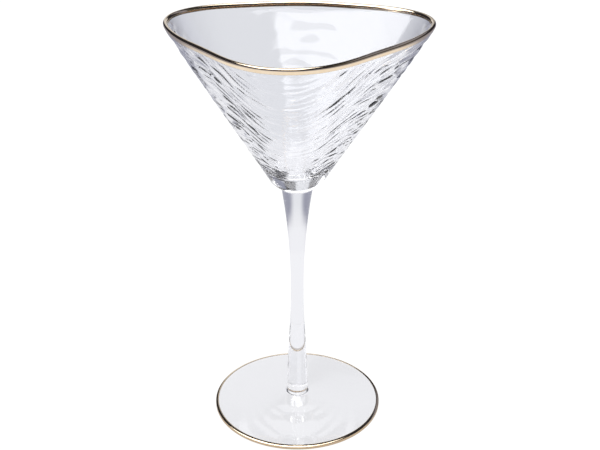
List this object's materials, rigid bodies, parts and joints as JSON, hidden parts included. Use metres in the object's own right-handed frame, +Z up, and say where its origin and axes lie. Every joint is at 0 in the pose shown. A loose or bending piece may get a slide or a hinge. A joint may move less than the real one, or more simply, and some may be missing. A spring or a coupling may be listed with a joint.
{
  "type": "martini glass",
  "caption": "Stemmed cocktail glass with a wide rounded-triangle cone bowl, solid stem and round foot, with a gold line on the rim and on the foot's edge.",
  "frame": {"origin": "centre of the foot's flat underside, on the stem's axis", "axes": "+Z up along the stem's axis; -Y towards one corner of the rounded-triangle rim; +X completes a right-handed frame"},
  "size_m": [0.1314, 0.1301, 0.21],
  "materials": {
    "bowl_glass": "clear, smooth inside, hammered outside",
    "stem_glass": "clear and smooth",
    "foot_glass": "clear and smooth",
    "rim_gold": "polished fired gold",
    "foot_gold": "polished fired gold"
  },
  "bodies": {
    "root": {"bowl": "bowl_glass", "stem": "stem_glass", "foot": "foot_glass", "rim_gilding": "rim_gold", "foot_gilding": "foot_gold"}
  },
  "joints": []
}
